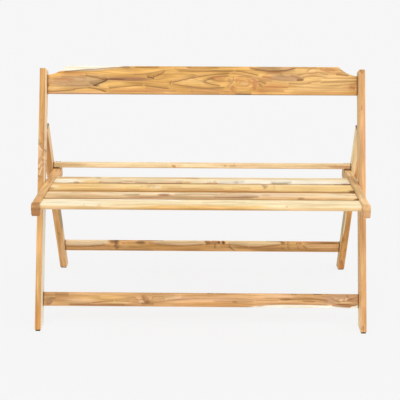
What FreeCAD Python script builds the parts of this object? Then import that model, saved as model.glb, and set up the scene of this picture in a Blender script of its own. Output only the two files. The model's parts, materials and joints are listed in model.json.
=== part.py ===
import FreeCAD, Part
import math
import os

# Two-seat folding bench of oiled teak. It stands on an A-frame: a front frame of two long legs that
# run on up as the back, and a rear frame hinged to the back of those legs. The seat swings on two
# bolts through the long legs. Its rear ends push up against a cross bar between the rear legs, and
# hook blocks on the rails, behind that bar, keep the legs from spreading.
# Millimetres and degrees. +X is to the right of a person who faces the bench, +Y is to its rear,
# +Z is up. The origin is on the floor, under the middle of the bench.

# Whole bench. Its width is taken over the long legs.
bench_width = 1097.0
leg_top_height = 820.5
seat_height = 457.0
hinge_height = 616.0
front_lean = 21.7
rear_lean = 22.5

# Sawn sections: thickness across the bench, depth from front to back
leg_thickness = 20.5
long_leg_depth = 50.0
rear_leg_thickness = 25.5
rear_leg_depth = 38.0
leg_edge_round = 3.0

# Boards between the legs
crest_height = 95.0
crest_thickness = 20.0
crest_bottom_below_leg_top = 86.0
crest_scoop_length = 65.0
crest_scoop_depth = 32.0
crest_scoop_hollow = 7.0
front_stretcher_height = 46.0
front_stretcher_thickness = 20.0
front_stretcher_level = 87.0
rear_stretcher_height = 40.0
rear_stretcher_thickness = 20.0
rear_stretcher_level = 96.0
cross_bar_height = 18.0
cross_bar_depth = 22.0
cross_bar_edge_round = 5.0
board_edge_round = 2.5

# Seat
rail_thickness = 24.0
rail_height = 42.0
rail_front_overhang = 47.0
rail_end_round = 13.0
rail_edge_round = 2.5
slat_thickness = 16.5
front_slat_width = 67.0
second_slat_width = 67.0
third_slat_width = 84.5
rear_slat_width = 72.5
slat_gap = 9.5
slat_drop = 5.0
slat_front_inset = 11.0
slat_edge_round = 5.0
front_slat_nose_round = 8.0
hook_block_length = 24.0
hook_block_height = 12.0
hook_block_edge_round = 2.0

# Hinges between the long legs and the rear legs
hinge_width = 18.0
hinge_leaf_length = 32.0
hinge_leaf_thickness = 1.6
hinge_leaf_corner_round = 2.5
hinge_knuckle_radius = 3.0
hinge_middle_knuckle = 6.8
hinge_pin_diameter = 3.0
hinge_screw_head = 6.4
hinge_screw_shank = 3.2
hinge_screw_length = 18.0
hinge_screw_point = 4.0
hinge_screw_tip_diameter = 0.8
hinge_screw_first = 11.0
hinge_screw_pitch = 13.0

# Seat pivots
pivot_shoulder_diameter = 8.0
pivot_thread_diameter = 6.0
pivot_head_diameter = 15.0
pivot_head_height = 3.0
pivot_head_round = 1.0
pivot_socket_width = 5.0
pivot_socket_depth = 1.8
insert_diameter = 10.0
insert_length = 11.0
spacer_diameter = 20.0
spacer_thickness = 1.0

# Dowels and screws
dowel_diameter = 8.0
dowel_depth_in_leg = 14.0
dowel_depth_in_board = 22.0
dowel_chamfer = 0.8
dowel_edge_distance = 12.0
slat_dowel_diameter = 6.0
slat_dowel_depth_in_rail = 12.0
slat_dowel_depth_in_slat = 20.0
slat_dowel_edge_distance = 14.0
block_screw_head = 8.0
block_screw_head_height = 2.5
block_screw_head_round = 1.75
block_screw_shank = 4.0
block_screw_length = 30.0
block_screw_spacing = 12.0

# Feet
pad_thickness = 3.0
pad_inset = 2.5
pad_corner_round = 2.0

# Clearances
running_fit = 0.05
folded_leg_gap = 1.0
knuckle_clearance = 0.4
knuckle_end_gap = 0.2
bar_on_rail_gap = 0.5
hook_gap = 1.0
head_recess_gap = 0.5

V = FreeCAD.Vector
ALONG_X = V(1, 0, 0)
ALONG_Z = V(0, 0, 1)
tan_front = math.tan(math.radians(front_lean))
sin_front = math.sin(math.radians(front_lean))
cos_front = math.cos(math.radians(front_lean))
tan_rear = math.tan(math.radians(rear_lean))
sin_rear = math.sin(math.radians(rear_lean))
cos_rear = math.cos(math.radians(rear_lean))

# Across the bench
leg_outer_x = bench_width / 2
leg_inner_x = leg_outer_x - leg_thickness
leg_middle_x = leg_outer_x - leg_thickness / 2
rear_leg_outer_x = leg_inner_x + rear_leg_thickness
rail_outer_x = leg_inner_x - spacer_thickness
rail_inner_x = rail_outer_x - rail_thickness
rail_middle_x = rail_outer_x - rail_thickness / 2

# From front to back, first from the front face of the long legs at the floor
pin_behind_leg = hinge_knuckle_radius + knuckle_clearance
pin_in_rear_leg = pin_behind_leg - folded_leg_gap
pin_run = hinge_height * tan_front + (long_leg_depth + pin_behind_leg) / cos_front
rear_face_run = pin_run + hinge_height * tan_rear - pin_in_rear_leg / cos_rear
rear_foot_run = rear_face_run + rear_leg_depth / cos_rear
front_foot_y = -(rear_foot_run - pad_inset - rail_front_overhang) / 2
rail_front_y = front_foot_y - rail_front_overhang

# Heights and depths of what moves
pin_y = front_foot_y + pin_run
pivot_z = seat_height - rail_height / 2
pivot_y = front_foot_y + pivot_z * tan_front + long_leg_depth / 2 / cos_front
bar_bottom_z = seat_height + bar_on_rail_gap
bar_middle_z = bar_bottom_z + cross_bar_height / 2
bar_middle_y = (front_foot_y + rear_face_run - bar_middle_z * tan_rear
                + rear_leg_depth / 2 / cos_rear)
bar_front_y = bar_middle_y - cross_bar_depth / 2
bar_rear_y = bar_middle_y + cross_bar_depth / 2
hook_front_y = bar_rear_y + hook_gap
rail_rear_y = hook_front_y + hook_block_length
slat_top_z = seat_height - slat_drop
slat_middle_z = slat_top_z - slat_thickness / 2


def front_frame_place(shape):
    """Lean a shape drawn upright: its Z runs up the long legs, its Y is 0 on their front faces."""
    shape.rotate(V(0, 0, 0), V(1, 0, 0), -front_lean)
    shape.translate(V(0, front_foot_y, 0))
    return shape


def rear_frame_place(shape):
    """Lean a shape drawn upright about the hinge pins: its Z runs up the rear legs."""
    shape.rotate(V(0, 0, 0), V(1, 0, 0), rear_lean)
    shape.translate(V(0, pin_y, hinge_height))
    return shape


def box(x0, x1, y0, y1, z0, z1):
    return Part.makeBox(x1 - x0, y1 - y0, z1 - z0, V(x0, y0, z0))


def rod(x0, x1, y, z, radius):
    """A round bar that runs along X."""
    return Part.makeCylinder(radius, x1 - x0, V(x0, y, z), V(1, 0, 0))


def mirrored(shape):
    return shape.mirror(V(0, 0, 0), V(1, 0, 0))


def edges_along(shape, axis):
    """The straight edges that run along an axis."""
    almost_one = 0.999999
    return [e for e in shape.Edges if e.Curve.TypeId == "Part::GeomLine"
            and abs(e.tangentAt(e.FirstParameter).dot(axis)) > almost_one]


def rim_circles(shape):
    """The full circles of a round bar, one at each end."""
    return [e for e in shape.Edges if e.Closed and e.Curve.TypeId == "Part::GeomCircle"]


def dowel_pins(x_face, inward, outward, centres, diameter):
    """Dowels along X that cross a joint face on the right, from the board into the leg."""
    pins = [rod(x_face - inward, x_face + outward, y, z, diameter / 2) for y, z in centres]
    return [pin.makeChamfer(dowel_chamfer, rim_circles(pin)) for pin in pins]


def dowel_holes(x_face, inward, outward, centres, diameter):
    return [rod(x_face - inward, x_face + outward, y, z, diameter / 2) for y, z in centres]


def both_sides(shapes):
    return shapes + [mirrored(s) for s in shapes]


# Boards and their dowels, drawn upright in the frame that holds them

def paired_heights(bottom, top):
    return [bottom + dowel_edge_distance, top - dowel_edge_distance]


crest_front_v = long_leg_depth - crest_thickness
crest_bottom_level = leg_top_height - crest_bottom_below_leg_top
crest_bottom_u = (crest_bottom_level + crest_front_v * sin_front) / cos_front
crest_end_height = crest_height - crest_scoop_depth
crest_centres = [(crest_front_v + crest_thickness / 2, u)
                 for u in paired_heights(crest_bottom_u, crest_bottom_u + crest_end_height)]

front_stretcher_v = long_leg_depth - front_stretcher_thickness
front_stretcher_u = ((front_stretcher_level + front_stretcher_v * sin_front) / cos_front
                     - front_stretcher_height / 2)
front_stretcher_centres = [(front_stretcher_v + front_stretcher_thickness / 2, u)
                           for u in paired_heights(front_stretcher_u,
                                                   front_stretcher_u + front_stretcher_height)]

rear_leg_front_v = -pin_in_rear_leg
rear_leg_back_v = rear_leg_front_v + rear_leg_depth
rear_leg_top_w = -pin_behind_leg
rear_stretcher_v = rear_leg_back_v - rear_stretcher_thickness
rear_stretcher_w = ((rear_stretcher_level - hinge_height - rear_stretcher_v * sin_rear) / cos_rear
                    - rear_stretcher_height / 2)
rear_stretcher_centres = [(rear_stretcher_v + rear_stretcher_thickness / 2, w)
                          for w in paired_heights(rear_stretcher_w,
                                                  rear_stretcher_w + rear_stretcher_height)]
bar_centres = [(bar_middle_y, bar_middle_z)]


def crest_rail():
    """The back board, with a scoop cut from each end of its top edge."""
    half = leg_inner_x
    top = crest_bottom_u + crest_height
    end = crest_bottom_u + crest_end_height
    corner = half - crest_scoop_length
    chord = V(crest_scoop_length, 0, end - top)
    dip = V(-chord.z, 0, chord.x).normalize() * -crest_scoop_hollow
    y = crest_front_v
    middle = V(half - crest_scoop_length / 2, y, (top + end) / 2) + dip
    right = Part.Arc(V(half, y, end), middle, V(corner, y, top)).toShape()
    left = Part.Arc(V(-half, y, end), V(-middle.x, y, middle.z), V(-corner, y, top)).toShape()
    bottom = crest_bottom_u
    edges = [Part.makeLine(V(-half, y, bottom), V(half, y, bottom)),
             Part.makeLine(V(half, y, bottom), V(half, y, end)),
             right,
             Part.makeLine(V(corner, y, top), V(-corner, y, top)),
             left,
             Part.makeLine(V(-half, y, end), V(-half, y, bottom))]
    board = Part.Face(Part.Wire(Part.__sortEdges__(edges))).extrude(V(0, crest_thickness, 0))
    board = board.makeFillet(board_edge_round, edges_along(board, ALONG_X))
    holes = dowel_holes(leg_inner_x, dowel_depth_in_board, 0, crest_centres, dowel_diameter)
    return front_frame_place(board.cut(both_sides(holes)))


def stretcher(v, u, thickness, height, centres):
    board = box(-leg_inner_x, leg_inner_x, v, v + thickness, u, u + height)
    board = board.makeFillet(board_edge_round, edges_along(board, ALONG_X))
    holes = dowel_holes(leg_inner_x, dowel_depth_in_board, 0, centres, dowel_diameter)
    return board.cut(both_sides(holes))


def cross_bar():
    """The bar that the seat pushes up against. It lies level between the leaning rear legs."""
    bar = box(-leg_inner_x, leg_inner_x, bar_front_y, bar_rear_y,
              bar_bottom_z, bar_bottom_z + cross_bar_height)
    bar = bar.makeFillet(cross_bar_edge_round, edges_along(bar, ALONG_X))
    holes = dowel_holes(leg_inner_x, dowel_depth_in_board, 0, bar_centres, dowel_diameter)
    return bar.cut(both_sides(holes))


def joint_dowels(centres):
    pins = dowel_pins(leg_inner_x, dowel_depth_in_board, dowel_depth_in_leg, centres, dowel_diameter)
    return Part.makeCompound(both_sides(pins))


# Hinges, drawn about the pin: Z up the leg, Y to the rear

def hinge_screw():
    """A countersunk screw that points down, with the top of its head at z = 0."""
    radius = hinge_screw_shank / 2
    head = Part.makeCone(radius, hinge_screw_head / 2, hinge_leaf_thickness,
                         V(0, 0, -hinge_leaf_thickness))
    shank_length = hinge_screw_length - hinge_leaf_thickness - hinge_screw_point
    shank = Part.makeCylinder(radius, shank_length, V(0, 0, hinge_screw_point - hinge_screw_length))
    point = Part.makeCone(hinge_screw_tip_diameter / 2, radius, hinge_screw_point,
                          V(0, 0, -hinge_screw_length))
    return head.fuse([shank, point]).removeSplitter()


def leaf_screws():
    """The two screws of a leaf that lies level under the pin and runs to the rear."""
    top = hinge_leaf_thickness - pin_behind_leg
    screws = [hinge_screw(), hinge_screw()]
    for i, screw in enumerate(screws):
        screw.translate(V(leg_middle_x, hinge_screw_first + i * hinge_screw_pitch, top))
    return screws


def hinge_knuckle_spans():
    """Where the middle knuckle and the two outer ones lie across the hinge."""
    half = hinge_width / 2
    middle = hinge_middle_knuckle / 2
    return [(-middle, middle)], [(-half, -middle - knuckle_end_gap), (middle + knuckle_end_gap, half)]


def hinge_leaf(own_spans, other_spans, bore):
    """A leaf that lies level under the pin and runs to the rear, with its knuckles."""
    x = leg_middle_x
    half = hinge_width / 2
    z0 = -pin_behind_leg
    plate = box(x - half, x + half, 0, hinge_leaf_length, z0, z0 + hinge_leaf_thickness)
    corners = [e for e in edges_along(plate, ALONG_Z) if e.BoundBox.YMin > hinge_leaf_length / 2]
    plate = plate.makeFillet(hinge_leaf_corner_round, corners)
    free = hinge_knuckle_radius + knuckle_clearance
    for a, b in other_spans:
        plate = plate.cut(rod(x + a - knuckle_end_gap, x + b + knuckle_end_gap, 0, 0, free))
    knuckles = [rod(x + a, x + b, 0, 0, hinge_knuckle_radius) for a, b in own_spans]
    for a, b in own_spans:
        knuckles.append(box(x + a, x + b, 0, hinge_knuckle_radius, z0, z0 + hinge_leaf_thickness))
    whole = plate.fuse(knuckles).removeSplitter()
    whole = whole.cut(rod(x - half, x + half, 0, 0, bore / 2))
    return whole.cut(leaf_screws())


def onto_long_leg(shape):
    """Turn a leaf that runs to the rear so that it runs up the back of the long leg."""
    shape = shape.mirror(V(0, 0, 0), V(0, 1, -1))
    shape.rotate(V(0, 0, 0), V(1, 0, 0), -front_lean)
    shape.translate(V(0, pin_y, hinge_height))
    return shape


# Legs

def pivot_holes(clear):
    """The shoulder hole and head recess of the seat pivot, through the right long leg."""
    radius = pivot_shoulder_diameter / 2 + clear
    hole = rod(leg_inner_x, leg_outer_x, pivot_y, pivot_z, radius)
    recess = rod(leg_outer_x - pivot_head_height - head_recess_gap, leg_outer_x, pivot_y, pivot_z,
                 pivot_head_diameter / 2 + head_recess_gap)
    return [hole, recess]


def cut_level(shape, z0, z1):
    """Keep what lies between two levels."""
    span = 2 * bench_width
    return shape.common(box(-span, span, -span, span, z0, z1))


def long_leg():
    """The right long leg, sawn level at the foot and square at the top."""
    length = 2 * leg_top_height
    leg = box(leg_inner_x, leg_outer_x, 0, long_leg_depth, -length, leg_top_height / cos_front)
    leg = cut_level(front_frame_place(leg), pad_thickness, length)
    leg = leg.makeFillet(leg_edge_round, leg.Edges)
    holes = dowel_holes(leg_inner_x, 0, dowel_depth_in_leg, crest_centres + front_stretcher_centres,
                        dowel_diameter)
    cuts = [front_frame_place(h) for h in holes] + pivot_holes(running_fit)
    cuts += [onto_long_leg(s) for s in leaf_screws()]
    return leg.cut(cuts)


def rear_leg():
    """The right rear leg, sawn square under the hinge and level at the foot."""
    length = 2 * hinge_height
    leg = box(leg_inner_x, rear_leg_outer_x, rear_leg_front_v, rear_leg_back_v, -length, rear_leg_top_w)
    leg = cut_level(rear_frame_place(leg), pad_thickness, length)
    rounded = [e for e in leg.Edges if e.BoundBox.ZMin < hinge_height / 2]
    leg = leg.makeFillet(leg_edge_round, rounded)
    holes = dowel_holes(leg_inner_x, 0, dowel_depth_in_leg, rear_stretcher_centres, dowel_diameter)
    cuts = [rear_frame_place(h) for h in holes]
    cuts += dowel_holes(leg_inner_x, 0, dowel_depth_in_leg, bar_centres, dowel_diameter)
    cuts += [rear_frame_place(s) for s in leaf_screws()]
    return leg.cut(cuts)


def foot_pad(outer_x, front_y, depth):
    """A thin pad under a right foot, a little smaller than the foot."""
    pad = box(leg_inner_x + pad_inset, outer_x - pad_inset,
              front_y + pad_inset, front_y + depth - pad_inset, 0, pad_thickness)
    return pad.makeFillet(pad_corner_round, edges_along(pad, ALONG_Z))


# Seat

def slat_spans():
    """Front and rear of each slat, from the front slat to the rear one."""
    spans = []
    y = rail_front_y + slat_front_inset
    for width in (front_slat_width, second_slat_width, third_slat_width, rear_slat_width):
        spans.append((y, y + width))
        y += width + slat_gap
    return spans


def slat_centres(front, rear):
    return [(front + slat_dowel_edge_distance, slat_middle_z),
            (rear - slat_dowel_edge_distance, slat_middle_z)]


def seat_slat(front, rear, nose_round):
    """A slat between the rails. Its front corner has its own, larger round on the front slat."""
    slat = box(-rail_inner_x, rail_inner_x, front, rear, slat_top_z - slat_thickness, slat_top_z)
    middle = (front + rear) / 2
    rear_edges = [e for e in edges_along(slat, ALONG_X) if e.BoundBox.YMin > middle]
    slat = slat.makeFillet(slat_edge_round, rear_edges)
    nose_edges = [e for e in edges_along(slat, ALONG_X) if e.BoundBox.YMax < middle]
    slat = slat.makeFillet(nose_round, nose_edges)
    holes = dowel_holes(rail_inner_x, slat_dowel_depth_in_slat, 0, slat_centres(front, rear),
                        slat_dowel_diameter)
    return slat.cut(both_sides(holes))


def all_slat_centres():
    return [c for front, rear in slat_spans() for c in slat_centres(front, rear)]


def block_screws():
    """Round-headed screws, side by side, down through the right hook block into the rail."""
    top = seat_height + hook_block_height
    y = hook_front_y + hook_block_length / 2
    screws = []
    for x in (rail_middle_x - block_screw_spacing / 2, rail_middle_x + block_screw_spacing / 2):
        head = Part.makeCylinder(block_screw_head / 2, block_screw_head_height, V(x, y, top))
        upper_rim = [e for e in rim_circles(head) if e.BoundBox.ZMin > head.CenterOfMass.z]
        head = head.makeFillet(block_screw_head_round, upper_rim)
        shank = Part.makeCylinder(block_screw_shank / 2, block_screw_length,
                                  V(x, y, top - block_screw_length))
        screws.append(head.fuse(shank).removeSplitter())
    return screws


def seat_rail():
    """The right seat rail. Its ends are rounded, but for the corner that carries the hook block."""
    rail = box(rail_inner_x, rail_outer_x, rail_front_y, rail_rear_y,
               seat_height - rail_height, seat_height)
    rounded = [e for e in edges_along(rail, ALONG_X)
               if e.BoundBox.YMax < pivot_y or e.BoundBox.ZMax < pivot_z]
    rail = rail.makeFillet(rail_end_round, rounded)
    faces = [f for f in rail.Faces if abs(f.CenterOfMass.x - rail_middle_x) > rail_thickness / 3]
    rail = rail.makeFillet(rail_edge_round, [e for f in faces for e in f.Edges])
    cuts = dowel_holes(rail_inner_x, 0, slat_dowel_depth_in_rail, all_slat_centres(),
                       slat_dowel_diameter)
    cuts.append(rod(rail_outer_x - insert_length, rail_outer_x, pivot_y, pivot_z, insert_diameter / 2))
    return rail.cut(cuts + block_screws())


def hook_block():
    """The block on top of the right rail's rear end, which hooks behind the bar."""
    block = box(rail_inner_x + rail_edge_round, rail_outer_x - rail_edge_round,
                hook_front_y, rail_rear_y - rail_edge_round,
                seat_height, seat_height + hook_block_height)
    tops = [e for e in edges_along(block, ALONG_X) if e.BoundBox.ZMin > seat_height]
    block = block.makeFillet(hook_block_edge_round, tops)
    return block.cut(block_screws())


def pivot_bolt():
    """The right seat pivot: a shoulder that turns in the leg, and a thread in the rail's insert."""
    head_outer = leg_outer_x - head_recess_gap
    head_inner = head_outer - pivot_head_height
    head = rod(head_inner, head_outer, pivot_y, pivot_z, pivot_head_diameter / 2)
    outer_rim = [e for e in rim_circles(head) if e.BoundBox.XMin > head.CenterOfMass.x]
    head = head.makeFillet(pivot_head_round, outer_rim)
    shoulder = rod(rail_outer_x, head_inner, pivot_y, pivot_z, pivot_shoulder_diameter / 2)
    thread = rod(rail_outer_x - insert_length, rail_outer_x, pivot_y, pivot_z, pivot_thread_diameter / 2)
    bolt = head.fuse([shoulder, thread]).removeSplitter()
    return bolt.cut(hex_socket(head_outer))


def hex_socket(head_outer):
    """The six-sided socket in the head of the right pivot bolt."""
    corner_radius = pivot_socket_width / math.sqrt(3)
    points = []
    for i in range(7):
        angle = math.radians(i * 60)
        points.append(V(head_outer - pivot_socket_depth, pivot_y + corner_radius * math.cos(angle),
                        pivot_z + corner_radius * math.sin(angle)))
    return Part.Face(Part.makePolygon(points)).extrude(V(pivot_socket_depth, 0, 0))


def pivot_insert():
    """The threaded bush that is pressed into the rail."""
    bush = rod(rail_outer_x - insert_length, rail_outer_x, pivot_y, pivot_z, insert_diameter / 2)
    return bush.cut(rod(rail_outer_x - insert_length, rail_outer_x, pivot_y, pivot_z,
                        pivot_thread_diameter / 2))


def pivot_spacer():
    """The thin washer that keeps the rail off the leg."""
    ring = rod(rail_outer_x, leg_inner_x, pivot_y, pivot_z, spacer_diameter / 2)
    return ring.cut(rod(rail_outer_x, leg_inner_x, pivot_y, pivot_z, pivot_shoulder_diameter / 2))


# Every piece under its own name. A pair is drawn on the right and mirrored to the left.

def sides(name, shape):
    return {name + "_right": shape, name + "_left": mirrored(shape)}


nodes = {}
nodes.update(sides("long_leg", long_leg()))
nodes["crest_rail"] = crest_rail()
nodes["front_stretcher"] = front_frame_place(stretcher(
    front_stretcher_v, front_stretcher_u, front_stretcher_thickness, front_stretcher_height,
    front_stretcher_centres))
nodes["crest_dowels"] = front_frame_place(joint_dowels(crest_centres))
nodes["front_stretcher_dowels"] = front_frame_place(joint_dowels(front_stretcher_centres))
nodes.update(sides("front_foot_pad", foot_pad(leg_outer_x, front_foot_y, long_leg_depth / cos_front)))

nodes.update(sides("rear_leg", rear_leg()))
nodes["rear_stretcher"] = rear_frame_place(stretcher(
    rear_stretcher_v, rear_stretcher_w, rear_stretcher_thickness, rear_stretcher_height,
    rear_stretcher_centres))
nodes["rear_stretcher_dowels"] = rear_frame_place(joint_dowels(rear_stretcher_centres))
nodes["cross_bar"] = cross_bar()
nodes["cross_bar_dowels"] = joint_dowels(bar_centres)
nodes.update(sides("rear_foot_pad", foot_pad(rear_leg_outer_x, front_foot_y + rear_face_run,
                                             rear_leg_depth / cos_rear)))

middle_span, outer_spans = hinge_knuckle_spans()
frame_leaf = hinge_leaf(outer_spans, middle_span, hinge_pin_diameter)
rear_leaf = hinge_leaf(middle_span, outer_spans, hinge_pin_diameter + 2 * running_fit)
pin = rod(leg_middle_x - hinge_width / 2, leg_middle_x + hinge_width / 2, pin_y, hinge_height,
          hinge_pin_diameter / 2)
nodes.update(sides("hinge_leaf_frame", onto_long_leg(frame_leaf)))
nodes.update(sides("hinge_leaf_rear", rear_frame_place(rear_leaf)))
nodes.update(sides("hinge_pin", pin))
nodes.update(sides("hinge_screws_frame", Part.makeCompound([onto_long_leg(s) for s in leaf_screws()])))
nodes.update(sides("hinge_screws_rear", Part.makeCompound([rear_frame_place(s) for s in leaf_screws()])))

nodes.update(sides("seat_rail", seat_rail()))
slat_names = ["seat_slat_front", "seat_slat_second", "seat_slat_third", "seat_slat_rear"]
for index, (name, (front, rear)) in enumerate(zip(slat_names, slat_spans())):
    nodes[name] = seat_slat(front, rear, front_slat_nose_round if index == 0 else slat_edge_round)
slat_pins = dowel_pins(rail_inner_x, slat_dowel_depth_in_slat, slat_dowel_depth_in_rail,
                       all_slat_centres(), slat_dowel_diameter)
nodes.update(sides("slat_dowels", Part.makeCompound(slat_pins)))
nodes.update(sides("hook_block", hook_block()))
nodes.update(sides("hook_block_screws", Part.makeCompound(block_screws())))
nodes.update(sides("pivot_bolt", pivot_bolt()))
nodes.update(sides("pivot_insert", pivot_insert()))
nodes.update(sides("pivot_spacer", pivot_spacer()))

os.makedirs("parts", exist_ok=True)
for name, shape in nodes.items():
    if not shape.isValid():
        print("not valid:", name)
    shape.exportStep(os.path.join("parts", name + ".step"))
    print("%-26s solids %2d  volume %10.1f" % (name, len(shape.Solids), shape.Volume))

print("hinge pins at y %.3f z %.3f" % (pin_y, hinge_height))
print("seat pivots at y %.3f z %.3f" % (pivot_y, pivot_z))
print("seat folds %.2f degrees, rear frame %.2f" % (90 + front_lean, front_lean + rear_lean))
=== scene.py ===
# %% [markdown]
# # A folding bench of oiled teak
# The bench is sawn from plain boards, so its whole look is in the wood: where the saw met a knot,
# where pale sapwood was left on an edge, and how each board differs from the next. The boards
# come in at their real size with the frame. This script gives each of them a finish of its own,
# and sets up a camera and a pale studio.

# %% Load the bench
import json
import math

import bmesh
import bpy
from mathutils import Matrix, Quaternion, Vector


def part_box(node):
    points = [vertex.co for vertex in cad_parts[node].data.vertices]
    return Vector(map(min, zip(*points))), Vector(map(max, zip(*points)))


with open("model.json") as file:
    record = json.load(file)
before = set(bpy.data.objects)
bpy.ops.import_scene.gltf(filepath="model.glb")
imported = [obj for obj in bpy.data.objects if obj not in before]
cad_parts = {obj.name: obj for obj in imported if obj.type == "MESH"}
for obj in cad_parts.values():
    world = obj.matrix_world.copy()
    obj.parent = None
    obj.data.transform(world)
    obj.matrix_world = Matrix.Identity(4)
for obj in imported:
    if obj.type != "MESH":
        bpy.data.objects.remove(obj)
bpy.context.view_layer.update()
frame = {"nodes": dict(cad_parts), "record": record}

# %% [markdown]
# ## Small helpers for shader nodes
# `add` makes a node, whose kind is its type without the leading ShaderNode, and sets its
# properties. `fill` gives each of its inputs a number or another node's output. `calc` is `add` for
# a Math node. All colours are written as the numbers a paint program shows, and `paint` turns them
# into the linear values that shaders expect.

# %% Helpers
def fill(tree, made, inputs):
    for key, value in inputs.items():
        if isinstance(value, bpy.types.NodeSocket):
            tree.links.new(value, made.inputs[key])
        else:
            made.inputs[key].default_value = value


def add(tree, kind, inputs=None, **settings):
    """Adds a node to a tree, with its properties and its inputs filled in."""
    made = tree.nodes.new("ShaderNode" + kind)
    for name, value in settings.items():
        setattr(made, name, value)
    fill(tree, made, inputs or {})
    return made


def calc(tree, operation, *values):
    return add(tree, "Math", dict(enumerate(values)), operation=operation).outputs[0]


def vector_calc(tree, operation, *values):
    made = add(tree, "VectorMath", dict(enumerate(values)), operation=operation)
    return made.outputs["Value" if operation == "DOT_PRODUCT" else "Vector"]


def ramp(tree, value, low, high, out_low=0.0, out_high=1.0):
    """A smooth step from low to high, which may run downwards."""
    made = add(tree, "MapRange", {0: value, 1: low, 2: high, 3: out_low, 4: out_high},
               interpolation_type="SMOOTHSTEP")
    return made.outputs[0]


def blend_colour(tree, share, first, second, kind="MIX"):
    made = add(tree, "Mix", {0: share, 6: first, 7: second}, data_type="RGBA",
               blend_type=kind)
    return made.outputs[2]


def paint(tone):
    """A colour from 0 to 255 as shown on a screen, in linear values."""
    steps = [c / 255 for c in tone]
    linear = [s / 12.92 if s <= 0.04045 else ((s + 0.055) / 1.055) ** 2.4 for s in steps]
    return (*linear, 1.0)


def new_group(name, inputs, outputs):
    """An empty node group with typed sockets, its input node and its output node."""
    group = bpy.data.node_groups.new(name, "ShaderNodeTree")
    for direction, sockets in (("INPUT", inputs), ("OUTPUT", outputs)):
        for label, kind in sockets:
            group.interface.new_socket(label, in_out=direction, socket_type="NodeSocket" + kind)
    given = group.nodes.new("NodeGroupInput").outputs
    made = group.nodes.new("NodeGroupOutput").inputs
    return group, given, made


def new_material(name):
    """A material, its node tree and the tree's main shader."""
    material = bpy.data.materials.new(name)
    material.use_nodes = True
    return material, material.node_tree, material.node_tree.nodes["Principled BSDF"]


def use_group(tree, group, **inputs):
    readable = {name.replace("_", " "): value for name, value in inputs.items()}
    return add(tree, "Group", readable, node_tree=group).outputs


print("mid grey is", round(paint((128, 128, 128))[0], 3), "in linear values")

# %% [markdown]
# ## A spot on a board
# Knots, streaks and patches of sapwood all start as a spot: a place on the board where a value is 1
# and from which it falls away, fast across the grain and slowly along it. A spot is measured in the
# board's own directions, so it stays on its board when the seat folds. The fall is a bell curve,
# which has no edge of its own: `ramp` can cut a hard or a soft edge from it later.

# %% The spot group
spot_group, given, made = new_group(
    "spot on a board", [("Place", "Vector"), ("Centre", "Vector"), ("Size", "Vector")],
    [("Nearness", "Float")])
tree = spot_group
offset = vector_calc(tree, "SUBTRACT", given["Place"], given["Centre"])
share = vector_calc(tree, "DIVIDE", offset, given["Size"])
square = vector_calc(tree, "DOT_PRODUCT", share, share)
bell = calc(tree, "EXPONENT", calc(tree, "MULTIPLY", square, -1.0))
tree.links.new(bell, made["Nearness"])
print("made the group", spot_group.name)

# %% [markdown]
# ## A vein on a board
# Between the broad patches run thin dark lines: the edge of a knot, the tip of an arch, the bark
# side of the sapwood. Such a vein has a start and an end. A Mapping node of the Texture kind can
# lay a ruler along it, so that X runs from 0 to 1 from start to end and Y counts widths to the
# side. What is left is to bow the line, to let it fade at both ends, and to give it one sharp side
# and one soft one, because late wood starts slowly and ends at once.
#
# Each vein takes the strength of those before it and hands on the larger of the two, so that all
# the veins of one colour are laid in one go. The place leans on that strength by a ten-millionth.
# That is too little to see, but it makes the renderer work out the veins one after another. Side
# by side they would overflow what it can hold for one material, and the board would turn black.

# %% The vein group
in_turn_only = 1e-7
soft_side_fall, soft_side_share = 0.07, 0.42  # how fast the soft side fades, and its strength
fade_in_by = 0.3  # a vein is full where its belly is this high
vein_group, given, made = new_group(
    "vein on a board",
    [("Place", "Vector"), ("Start", "Vector"), ("Turn", "Vector"), ("Size", "Vector"),
     ("Bow", "Float"), ("Amount", "Float"), ("So Far", "Float")],
    [("Strength", "Float")])
tree = vein_group
in_turn = vector_calc(tree, "MULTIPLY_ADD", given["So Far"], (in_turn_only,) * 3, given["Place"])
ruler = add(tree, "Mapping",
            {"Vector": in_turn, "Location": given["Start"], "Rotation": given["Turn"],
             "Scale": given["Size"]}, vector_type="TEXTURE").outputs[0]
ruler = add(tree, "SeparateXYZ", {0: ruler}).outputs
travel = add(tree, "Clamp", {0: ruler[0]}).outputs[0]
belly = calc(tree, "MULTIPLY", calc(tree, "MULTIPLY", travel, 4.0),
             calc(tree, "SUBTRACT", 1.0, travel))
aside = calc(tree, "SUBTRACT", ruler[1], calc(tree, "MULTIPLY", belly, given["Bow"]))
square = calc(tree, "MULTIPLY", aside, aside)
core = calc(tree, "EXPONENT", calc(tree, "MULTIPLY", square, -1.0))
shade = calc(tree, "EXPONENT", calc(tree, "MULTIPLY", square, -soft_side_fall))
shade = calc(tree, "MULTIPLY", shade, ramp(tree, aside, -0.6, 0.8, 0.0, soft_side_share))
bell = calc(tree, "MAXIMUM", core, shade)
bell = calc(tree, "MULTIPLY", bell, ramp(tree, belly, 0.0, fade_in_by))
bell = calc(tree, "MULTIPLY", bell, given["Amount"])
tree.links.new(calc(tree, "MAXIMUM", bell, given["So Far"]), made["Strength"])
print("made the group", vein_group.name)

# %% [markdown]
# ## Growth rings
# A board is a slice through a stack of growth rings. If every ring lies flat, the slice shows
# straight lines. Where the trunk bulged, the slice cuts the same ring twice and shows the arches
# that joiners call cathedrals. The easiest way to draw that is a height map: number the rings
# across the board, add hills and hollows to the numbers, and let a line appear wherever the number
# passes a whole one. Each ring ends in a thin dark band of late wood, and no two rings are equally
# dark.
#
# Over the rings lie the fibres: streaks a few millimetres wide, short pores as fine dark dashes,
# and a slow drift of tone along the board. All of it is sampled at the real size, so nothing swims
# or scales with the piece.

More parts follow.
